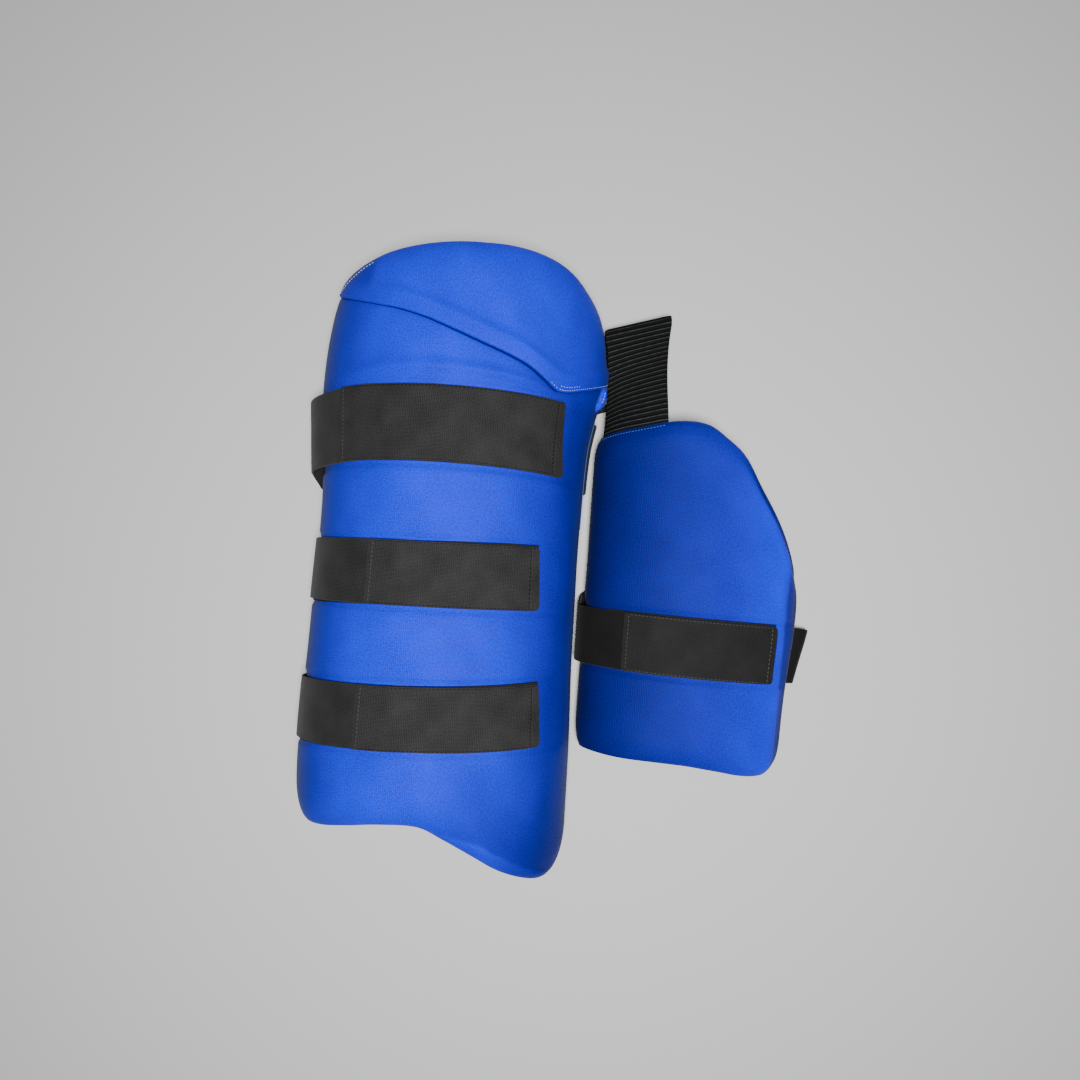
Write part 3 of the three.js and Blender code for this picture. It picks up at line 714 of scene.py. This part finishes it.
# painted shade: how much red, green and blue of the cover's colour stays, by the distance across in
# # metres; each cover has its own copy, darker down its sides, the inner pad's left side by the valley
# darkest
cover = coverMaterial("outerKnit", [
    (-0.15, 1, 0.42, 0.1), (-0.11, 1, 0.66, 0.26), (-0.055, 1, 0.95, 0.92), (0, 1, 1, 1),
    (0.05, 0.9, 0.88, 0.85), (0.095, 0.8, 0.45, 0.36), (0.15, 0.3, 0.07, 0.06)])
hoodKnit = coverMaterial("hoodKnit", [
    (-0.15, 1, 0.42, 0.16), (-0.11, 1, 0.66, 0.4), (-0.055, 1, 0.97, 0.93), (0.04, 1, 1, 1),
    (0.1, 1, 0.85, 0.8), (0.15, 0.8, 0.4, 0.36)])
innerKnit = coverMaterial("innerKnit", [
    (-0.11, 0.1, 0.05, 0.05), (-0.075, 0.4, 0.15, 0.14), (-0.03, 1, 0.4, 0.28), (0.02, 1, 0.62, 0.54),
    (0.06, 1, 0.96, 0.94), (0.09, 1, 1, 1), (0.105, 1, 0.7, 0.5)])
# the inner strap's band and tab are much darker copies of the webbing, painted shade for the valley
# between the pads; the outer bands are a little darker than their tab ends
elasticOf = {"outer": webbingMaterial("strapEnd", 1.0), "inner": webbingMaterial("innerEnd", 0.52)}
bandOf = {"outer": webbingMaterial("strapBand", 0.84), "inner": webbingMaterial("innerBand", 0.18)}
patchCloth = patchMaterial()
dullThread, darkThread, mattThread, whiteThread, blueThread, hemShadowPaint, paleBlue = (
    threadMaterial(name, colour, shine) for name, colour, shine in (
        ("dullThread", (0.055, 0.055, 0.058), 0.3),
        ("darkThread", (0.0012, 0.0012, 0.0012), 0.05),
        ("mattThread", (0.034, 0.033, 0.031), 0.1),
        ("whiteThread", (0.50, 0.62, 0.82), 0.3),
        ("blueThread", (0.05, 0.16, 0.66), 0.3),
        # the dark blue of the painted shadow line under the hood's hem
        ("paintedHemShadow", (0.0006, 0.004, 0.11), 0.02),
        ("paleBlueThread", (0.03, 0.08, 0.34), 0.3)))


def dress(piece, slot, *nodes):
    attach(piece, "root")
    if nodes:
        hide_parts(*nodes)
    return piece


# Pads

def shadeLayer(piece, shares):
    # painted shade and highlight: how much of its colour each point of a slab keeps, on both faces
    uvLayer(piece.data, "shade", np.stack([np.tile(shares.ravel(), 2)] * 2, axis=-1))


def makeCover(name, pad, hem, fine, material, node, shadeOf):
    across = padColumns(fine)
    y = padRowAt(pad, hem, across)
    outer, inner = skin(pad, np.broadcast_to(across, y.shape), y)
    piece = slab(name, place(pad, outer), place(pad, inner), material, 60)
    shadeLayer(piece, shadeOf(pad, across, y))
    dress(piece, "cover", node)
    return piece


def outerShade(pad, across, y):
    # painted shade inside the lower band's hollow, and a painted highlight on the cloth by the ear
    earHighlight = bump(y, 105, 9) * bump(across, 0.66, 0.13)
    return (1 - 0.3 * pressedIn(pad, across, y)) * (1 + 0.7 * earHighlight)


def innerShade(pad, across, y):
    # painted shade on the flange, with a painted highlight on the ridge beside it
    inside, width = fromFlange(pad, across, y)
    shade = np.interp(inside / width, (0.15, 0.5, 0.85, 1.15, 2.6), (0.16, 0.34, 0.5, 1.15, 1.0))
    return mix(1, shade, ease((across - 0.1) / 0.2))


outerCover = makeCover("outerCover", outerPad, hemAt, 46, cover, "outer_pad", outerShade)
innerCover = makeCover("innerCover", innerPad, None, 36, innerKnit, "inner_pad", innerShade)
print("pads", len(outerCover.data.polygons), len(innerCover.data.polygons))


# Top panel of the outer cover, with its raised hem

def hoodThickness(beyond, across):
    # a lip at the hem that rises to a soft crest and falls away, fading out to the left
    strength = mix(0.12, 1, ease((across + 0.52) / 0.4))
    rise = mix(hood["lip"], hood["crest"], np.clip(beyond / hood["hemWidth"], 0, 1))
    fall = ease((beyond - hood["hemWidth"]) / 7)
    hem = mix(rise, hood["thickness"], fall)
    lip = roundedEnd((beyond + 0.3) / 1.0)
    return mix(hood["thickness"], hem, strength) * mix(0.35, 1, lip)


def makeHood():
    across = np.concatenate([np.linspace(hood["start"], -0.7, 6)[:-1], np.linspace(-0.7, 0.9, 84),
                             np.linspace(0.9, hood["end"], 8)[1:]])
    line = hemAt(across)
    top = topEdge(outerPad, across)
    hemSteps = (0, 0.35, 0.8, 1.4, 2.2, 3.5, 5.5, 7.5, 9, 10, 11, 12, 13.5)
    rows = [line + np.minimum(step, 0.55 * (top - line) * step / hemSteps[-1]) for step in hemSteps]
    last = rows[-1]
    rows += [mix(last, top, share) for share in
             np.concatenate([np.linspace(0, 0.8, 22)[1:], [0.85, 0.9, 0.94, 0.97, 0.985, 0.995, 1]])]
    y = np.array(rows)
    a = np.broadcast_to(across, y.shape)
    face = skin(outerPad, a, y)[0]
    out = gridNormals(face)
    reach = common["clearance"]
    thickness = hoodThickness(y - line, a)
    edge = ease((a - hood["start"]) / 0.03) * ease((hood["end"] - a) / 0.02)
    back = face + out * reach
    front = face + out * (reach + 0.3 + (thickness - 0.3) * edge)[..., None]
    piece = slab("hoodPanel", front, back, hoodKnit, 60, None, int(np.argmin(np.abs(across))))
    # painted shade: the panel is darker left of the crease, above its hem
    paintedCreaseShade = ease((-0.335 - a) / 0.03) * ease((y - line - 4) / 12)
    shadeLayer(piece, 1 - 0.3 * paintedCreaseShade)
    dress(piece, "cover", "outer_hood")
    # the line of its rim seam at the upper left, which runs a little inside the silhouette
    seam, seamOut = [], []
    for column in np.flatnonzero((across > -0.62) & (across < -0.36)):
        at = top[column] - mix(4.4, 15, ease((-0.34 - across[column]) / 0.36))
        seam.append([np.interp(at, y[:, column], front[:, column, axis]) for axis in range(3)])
        seamOut.append([np.interp(at, y[:, column], out[:, column, axis]) for axis in range(3)])
    return piece, np.array(seam) + np.array(seamOut) * 0.15, np.array(seamOut)


hoodPanel, rimSeam, rimSeamOut = makeHood()
print("hood", len(hoodPanel.data.polygons))


# Straps

def strapHeight(strap):
    return common["patchThickness"] + 2 * common["clearance"] if strap["patch"] else common["clearance"]


def ribbonSlab(name, lines, thickness, material, edgeTrim=0.4):
    # lines: (columns over the width, points along, 3), the face towards the pad
    lines = np.asarray(lines, float)
    step = np.diff(lines, axis=1)
    step[..., 1] = 0
    step = unit(step)
    before = np.concatenate([step[:, :1], step], axis=1)
    after = np.concatenate([step, step[:, -1:]], axis=1)
    middle = unit(before + after)
    out = points(middle[..., 2], 0 * middle[..., 0], -middle[..., 0])
    reach = thickness / np.maximum(np.sum(middle * before, axis=-1), 0.6)
    over = np.linspace(-1, 1, len(lines))[:, None]
    reach = reach * (1 - edgeTrim * np.abs(over) ** 14)
    outer = lines + out * reach[..., None]
    return slab(name, outer, lines, material, 50), outer


widthShares = np.array([-1, -0.985, -0.95, -0.85, -0.6, -0.3, 0, 0.3, 0.6, 0.85, 0.95, 0.985, 1.0])


def flatSize(strap, lines):
    # width and length in metres of a strip that was laid along these lines
    return strap["width"] * 0.001, lengthOf(lines[len(lines) // 2])


def makeStrap(name, pad, strap, node):
    height = strapHeight(strap)
    end = strap["seam"] + common["lap"] / girth(pad)
    leaves = common["strapLeaves"]
    thick = common["strapThickness"]
    lines = []
    for over in widthShares:
        def edgeY(across):
            return strapMiddle(strap, across) + over * strap["width"] / 2
        across = np.linspace(end, leaves, 60)
        gone = (across - common["strapStands"]) / (leaves - common["strapStands"])
        stand = strap["standLeft"] * strap["width"] * ease(gone)
        line = [above(pad, across, edgeY(across), height + stand)]
        leftEnd = line[0][-1]
        leftRim = skin(pad, -1.0, edgeY(-1.0))[0]
        rightRim = skin(pad, 1.0, edgeY(1.0))[0]
        floorStart = np.array([leftRim[0] - 1, edgeY(-1.0), thick])
        corner = np.array([leftEnd[0] + 1, 0, thick])
        share = np.linspace(0, 1, 22)[1:, None]
        turn = (1 - share) ** 2 * leftEnd + 2 * share * (1 - share) * corner + share ** 2 * floorStart
        turn[:, 1] = edgeY(mix(leaves, -1, share[:, 0]))
        line.append(turn)
        floorEnd = np.array([rightRim[0] + 1, edgeY(1.0), thick])
        line.append(mix(floorStart, floorEnd, np.linspace(0, 1, 26)[1:, None]))
        if strap["loop"]:
            loop = strap["loop"]
            seam = above(pad, loop["seam"], edgeY(loop["seam"]), common["clearance"])
            lower = 1 - loop["pinch"] * (1 - over) / 2
            bulge = side(pad, 1.0, edgeY(1.0)) + loop["stand"] * strap["width"] * lower * 4 / 3
            low = np.array([bulge, 0, thick])
            high = np.array([bulge, 0, seam[2]])
            share = np.linspace(0, 1, 26)[1:, None]
            curl = ((1 - share) ** 3 * floorEnd + 3 * share * (1 - share) ** 2 * low
                    + 3 * share ** 2 * (1 - share) * high + share ** 3 * seam)
            curl[:, 1] = edgeY(mix(1, loop["seam"], share[:, 0]))
            line.append(curl)
        lines.append(place(pad, np.concatenate(line)))
    piece, outer = ribbonSlab(name, lines, thick, bandOf[pad["label"]])
    dress(piece, "webbing", node)
    return piece, flatSize(strap, outer)


def tabRows(pad, strap):
    perGirth = 1 / girth(pad)
    start = strap["seam"] - common["lapMargin"] * perGirth
    lapEnd = strap["seam"] + (common["lap"] + common["lapMargin"]) * perGirth
    landed = lapEnd + common["tabLanding"] * perGirth
    tip = strap["tip"]
    plain = np.linspace(landed, tip - 4 * perGirth, 46)[1:]
    corner = tip - np.array([3.2, 2.4, 1.7, 1.1, 0.6, 0.25, 0]) * perGirth
    lap = np.linspace(start, lapEnd, 10)
    landing = np.linspace(lapEnd, landed, 9)[1:]
    return np.concatenate([lap, landing, plain, corner])[::-1], lapEnd, landed


def tipShift(pad, strap, across, over):
    # the tip leans: its upper edge stops short and its lower edge reaches on
    span = common["tipSpan"] / girth(pad)
    share = np.clip((across - strap["tip"] + span) / span, 0, 1)
    return across - over * strap["tipLean"] * strap["width"] / girth(pad) * share


def tabHeight(strap, across, lapEnd, landed):
    lifted = 1 - ease((across - lapEnd) / (landed - lapEnd))
    return strapHeight(strap) + lifted * (common["strapThickness"] + common["clearance"])


def makeTab(name, pad, strap, node):
    radius = common["tabCorner"]
    across, lapEnd, landed = tabRows(pad, strap)
    fromTip = (strap["tip"] - across) * girth(pad)
    cut = radius - np.sqrt(np.maximum(radius ** 2 - (radius - np.minimum(fromTip, radius)) ** 2, 0))
    lines = []
    for over in widthShares:
        at = tipShift(pad, strap, across, over)
        y = strapMiddle(strap, at) + over * (strap["width"] / 2 - cut)
        lines.append(place(pad, above(pad, at, y, tabHeight(strap, across, lapEnd, landed))))
    piece, _ = ribbonSlab(name, lines, common["strapThickness"], elasticOf[pad["label"]])
    dress(piece, "webbing", node)
    return piece, flatSize(strap, lines)


def makePatch(name, pad, strap, node):
    start = strap["patch"]["start"]
    end = strap["tip"] - common["lapMargin"] / girth(pad)
    middle = (start + strap["tip"]) / 2
    across = np.linspace(start, end, 60)[::-1]
    tilt = strap["patch"]["lean"] * strap["width"] * (across - middle) + strap["patch"]["rise"]
    tilt = np.clip(tilt, -common["dentMargin"], common["dentMargin"])
    lines = []
    for over in widthShares:
        y = strapMiddle(strap, across) + tilt + over * strap["width"] / 2
        lines.append(place(pad, above(pad, across, y, common["clearance"])))
    piece, _ = ribbonSlab(name, lines, common["patchThickness"], patchCloth, 0.5)
    dress(piece, "patch_cloth", node)
    return piece, flatSize(strap, lines)


def tabPoint(pad, strap, across, over):
    # point and direction on the front of a strap's tab
    _, lapEnd, landed = tabRows(pad, strap)
    height = tabHeight(strap, across, lapEnd, landed) + common["strapThickness"]
    across = tipShift(pad, strap, across, over)
    y = strapMiddle(strap, across) + over * strap["width"] / 2
    return place(pad, above(pad, across, y, height)), faceNormal(pad, across, y)


stitching = {
    "pitch": 2.8, "length": 1.8, "reach": 0.93, "seamIn": 2.2, "lockOut": 1.2,
    "edge": 0.945, "edgeStart": 3, "edgeEnd": 3.4, "edgeLength": 1.7,
}


def strapStitches(name, pad, strap, edgeThread):
    # a line across the seam, one by the tip and one along each edge
    perGirth = 1 / girth(pad)
    length = stitching["length"]
    over = np.linspace(-stitching["reach"], stitching["reach"], 30)
    seam = np.full(30, strap["seam"] + stitching["seamIn"] * perGirth)
    tip = np.full(30, strap["tip"] - strap["tipSeam"] * perGirth)
    rows = [("Seam", seam, over, dullThread, length, 0.2), ("Tip", tip, over, edgeThread, length, 0.34)]
    if edgeThread is darkThread:
        rows.append(("TipLock", tip + stitching["lockOut"] * perGirth, over, mattThread, length, 0.18))
    along = np.linspace(strap["seam"] + stitching["edgeStart"] * perGirth,
                        strap["tip"] - stitching["edgeEnd"] * perGirth, 80)
    for label, offset in (("Upper", stitching["edge"]), ("Lower", -stitching["edge"])):
        rows.append((label, along, np.full(80, offset), edgeThread, stitching["edgeLength"], 0.2))
    made = []
    for label, across, offsets, thread, length, radius in rows:
        path, normals = tabPoint(pad, strap, across, offsets)
        line = stitchLine(name + label, path, normals, thread, stitching["pitch"], length, radius)
        made.append(dress(line, "webbing"))
    return made


strapList = [
    ("waist", outerPad, waistStrap, "waist_strap", None, darkThread),
    ("upper", outerPad, upperStrap, "thigh_strap_upper", "thigh_patch_upper", darkThread),
    ("lower", outerPad, lowerStrap, "thigh_strap_lower", "thigh_patch_lower", darkThread),
    ("inner", innerPad, innerStrap, "inner_strap", "inner_patch", dullThread),
]
for label, pad, strap, strapNode, patchNode, edgeThread in strapList:
    elastic, flat = makeStrap(label + "Strap", pad, strap, strapNode)
    if patchNode:
        patch, patchFlat = makePatch(label + "Patch", pad, strap, patchNode)
    tab, tabFlat = makeTab(label + "Tab", pad, strap, strapNode + "_tab")
    stitches = strapStitches(label + "Stitch", pad, strap, edgeThread)
print("straps")


# Ribbed elastic between the pads

link = {
    "width": 51, "frontLength": 73, "rearLength": 57, "thickness": 1.6, "slant": 17, "waist": 2,
    "droop": 3, "foldRadius": 8, "foldHeight": 26, "ribHeight": 0.9, "ribPitch": 3.65,
    "hemLeft": -0.72, "hemRight": -0.21, "stepsPerRib": 8,
}
ribbed = ribbedMaterial(link["ribPitch"] * 0.001)


def sideOf(y):
    beside = np.minimum(y, topEdge(outerPad, common["archShare"]))
    across = np.full(np.shape(beside), common["archShare"])
    x = skin(outerPad, across, beside)[0][..., 0]
    return x + hood["hemSpace"] + common["clearance"] + link["thickness"] / 2


def ribSteps(length):
    return max(2, round(length / link["ribPitch"])) * link["stepsPerRib"]


def linkRun(u):
    # rows over the elastic's middle, from the inner pad over the fold to the outer pad's side
    across = mix(link["hemLeft"], link["hemRight"], u)
    rimOuter, rimInner = skin(innerPad, across, topEdge(innerPad, across))
    start = place(innerPad, (rimOuter + rimInner) / 2)
    start[:, 1] += common["clearance"]
    foldY = start[0, 1] + link["frontLength"]
    slant = math.radians(link["slant"])
    firstX = float(sideOf(np.array([foldY]))[0])
    over = u * link["width"]
    fold = points(firstX + over * math.cos(slant), foldY + over * math.sin(slant), link["foldHeight"])
    frontSteps = ribSteps(link["frontLength"])
    rows = []
    for step in range(frontSteps + 1):
        share = step / frontSteps
        row = mix(start, fold, share)
        row[:, 2] = mix(start[:, 2], fold[:, 2], ease(share))
        row[:, 0] += link["waist"] * math.sin(math.pi * share) * (1 - 2 * u)
        row[:, 1] -= link["droop"] * math.sin(math.pi * share) * (1 - u) ** 2
        beside = sideOf(row[:, 1])
        crowd = np.maximum(0, beside - row[:, 0] - (start[:, 0] - start[0, 0])) * (1 - u)
        row[:, 0] += crowd
        rows.append(row)
    foldSteps = ribSteps(math.pi * link["foldRadius"])
    for step in range(1, foldSteps + 1):
        angle = math.pi * step / foldSteps
        row = fold.copy()
        row[:, 1] += link["foldRadius"] * math.sin(angle)
        row[:, 2] -= link["foldRadius"] * (1 - math.cos(angle))
        rows.append(row)
    rearZ = link["foldHeight"] - 2 * link["foldRadius"]
    leanIn = outerPad["tuck"] * (1 - rearZ / outerPad["sideHeight"]) ** 2
    rearSteps = ribSteps(link["rearLength"])
    for step in range(1, rearSteps + 1):
        share = step / rearSteps
        y = fold[:, 1] - link["rearLength"] * share
        seat = side(outerPad, np.full(y.shape, 1.0), y) - leanIn + common["clearance"]
        x = mix(np.maximum(fold[:, 0], sideOf(y)), seat, ease((share - 0.8) / 0.2))
        rows.append(points(mix(x, fold[:, 0], u), y, 0 * y + rearZ))
    return np.array(rows)


def makeLink():
    u = np.linspace(0, 1, 31)
    grid = linkRun(u)
    out = gridNormals(grid)
    phase = np.arange(len(grid)) / link["stepsPerRib"]
    rib = (0.5 - 0.5 * np.cos(2 * math.pi * phase)) ** 0.8 * link["ribHeight"]
    trim = 1 - 0.7 * np.abs(2 * u - 1) ** 20
    half = link["thickness"] / 2
    face = grid + out * (half + rib[:, None] * trim)[..., None]
    back = grid - out * half
    cloth = np.zeros(grid.shape)
    cloth[..., 0] = u[None, :] * link["width"]
    cloth[..., 1] = phase[:, None] * link["ribPitch"]
    piece = slab("linkElastic", face, back, ribbed, 60, cloth)
    dress(piece, "ribbed_elastic", "link_elastic")


makeLink()
print("link")


# Stitching of the covers, with a painted shadow line under the hem

def hemPath(start, end, beyond, count=120):
    across = np.linspace(start, end, count)
    y = hemAt(across) + beyond
    thick = hoodThickness(np.full(count, float(beyond)), across)
    normal = faceNormal(outerPad, across, y)
    return above(outerPad, across, y, common["clearance"] + thick), normal


def cord(name, path, radii, material, sides=8):
    # closed round cord along a path
    path = np.asarray(path, float)
    radii = np.broadcast_to(radii, len(path))[:, None]
    along = unit(np.gradient(path, axis=0))
    beside = unit(np.cross(along, np.array([0.0, 0.0, 1.0])))
    upward = np.cross(beside, along)
    rings = [path + (beside * math.cos(turn) + upward * math.sin(turn)) * radii
             for turn in 2 * math.pi * np.arange(sides) / sides]
    verts = np.stack(rings, axis=1).reshape(-1, 3)
    lengths = np.zeros((len(verts), 2))
    lengths[:, 0] = np.tile(np.arange(sides) * 0.001, len(path))
    lengths[:, 1] = np.repeat(np.arange(len(path)) * 0.001, sides)
    return addObject(name, metres(verts), tubeFaces(len(path), sides), material, lengths, 80)


def coverCords():
    # a dark cord under the hem's lip, a painted shadow that swells to the right, and the seam at the
    # # upper right edge
    across = np.linspace(-0.72, 0.4, 160)
    y = hemAt(across) - 0.25
    thread = mix(0.4, 1.05, ease((across + 0.5) / 0.7)) * mix(0.5, 1, ease((0.4 - across) / 0.08))
    hem = above(outerPad, across, y, 0.5 + 0.55 * thread)
    edge = above(outerPad, 0.79, np.linspace(92, 12, 40), 0.1)
    return [cord("hemShadowLine", hem, thread, hemShadowPaint), cord("edgeSeam", edge, 0.32, paleBlue)]


earShape = {
    "path": points((106.6, 106.6, 106, 104.9, 103.2, 101.4, 99.6),
                   (117, 113.5, 109.5, 105.6, 102.6, 100.8, 100.6),
                   (42, 43, 43, 42.5, 42, 40, 37)),
    "radii": (1.5, 2.8, 3.5, 3.7, 3.3, 2.6, 1.4),
    "threadLift": (2.5, 3.0, 3.2, 2.7, 2.2),
}


def makeEar():
    # the small roll of cloth below the hem's right end, and where its thread runs
    roll = cord("earRoll", earShape["path"], earShape["radii"], hoodKnit, 14)
    shadeLayer(roll, np.ones(len(roll.data.vertices) // 2))
    return roll, earShape["path"][1:6] + points(1.4, -0.6, earShape["threadLift"])


def sew(rows):
    return [stitchLine(label, path, normals, thread, pitch, length, radius)
            for label, (path, normals), thread, pitch, length, radius in rows]


def linkSeam():
    across = np.linspace(-0.7, -0.22, 60)
    y = topEdge(innerPad, across) - 2.6
    return place(innerPad, above(innerPad, across, y, 0.02)), faceNormal(innerPad, across, y)


coverStitchesAndShadow = coverCords() + sew([
    ("hemStitchLong", hemPath(0.4, 0.955, 1.2), whiteThread, 2.1, 1.15, 0.22),
    ("hemStitchShort", hemPath(0.4, 0.5, 3.4), whiteThread, 2.1, 1.15, 0.22),
])
earRoll, earEdge = makeEar()
coverStitchesAndShadow += sew([
    ("earStitch", (earEdge, np.tile([0.3, 0, 0.95], (5, 1))), whiteThread, 2.0, 1.1, 0.24),
    ("hemTurn", hemPath(0.355, 0.395, 1.0, 20), whiteThread, 2.0, 1.0, 0.16),
    ("rimStitch", (rimSeam, rimSeamOut), whiteThread, 2.6, 1.5, 0.32),
    ("linkSeam", linkSeam(), blueThread, 2.3, 1.5, 0.24),
])
for piece in coverStitchesAndShadow + [earRoll]:
    dress(piece, "cover")
print("stitches")


# Floor, light and camera

def makeStage():
    paper, _, shader = newMaterial("floorPaper")
    corners = [(-2.5, -2.5, 0), (2.5, -2.5, 0), (2.5, 2.5, 0), (-2.5, 2.5, 0)]
    floor = addObject("floor", corners, [(0, 1, 2, 3)], paper)
    shader.inputs["Base Color"].default_value = (0.46, 0.46, 0.46, 1)
    shader.inputs["Roughness"].default_value = 0.9
    world = bpy.data.worlds.new("studio")
    world.use_nodes = True
    background = world.node_tree.nodes["Background"]
    background.inputs["Color"].default_value = (1, 1, 1, 1)
    background.inputs["Strength"].default_value = 0.1
    bpy.context.scene.world = world


def areaLight(name, at, target, size, power):
    data = bpy.data.lights.new(name, "AREA")
    data.shape = "DISK"
    data.size = size
    data.energy = power
    lamp = inScene(name, data)
    lamp.location = at
    lamp.rotation_euler = (Vector(target) - Vector(at)).to_track_quat("-Z", "Y").to_euler()


makeStage()
areaLight("overhead", (0.03, -0.09, 1.0), (0.0, 0, 0), 0.25, 22)

view = {
    "at": (-0.01125, 0.00514, 0.665), "turn": 4.15, "lens": 28.33,
    "shiftX": -0.0046, "shiftY": 0.0213,
}
cameraData = bpy.data.cameras.new("camera")
cameraData.sensor_width = 36
cameraData.lens = view["lens"]
cameraData.shift_x = view["shiftX"]
cameraData.shift_y = view["shiftY"]
camera = inScene("camera", cameraData)
camera.location = view["at"]
camera.rotation_euler = (0, 0, math.radians(view["turn"]))
bpy.context.scene.camera = camera
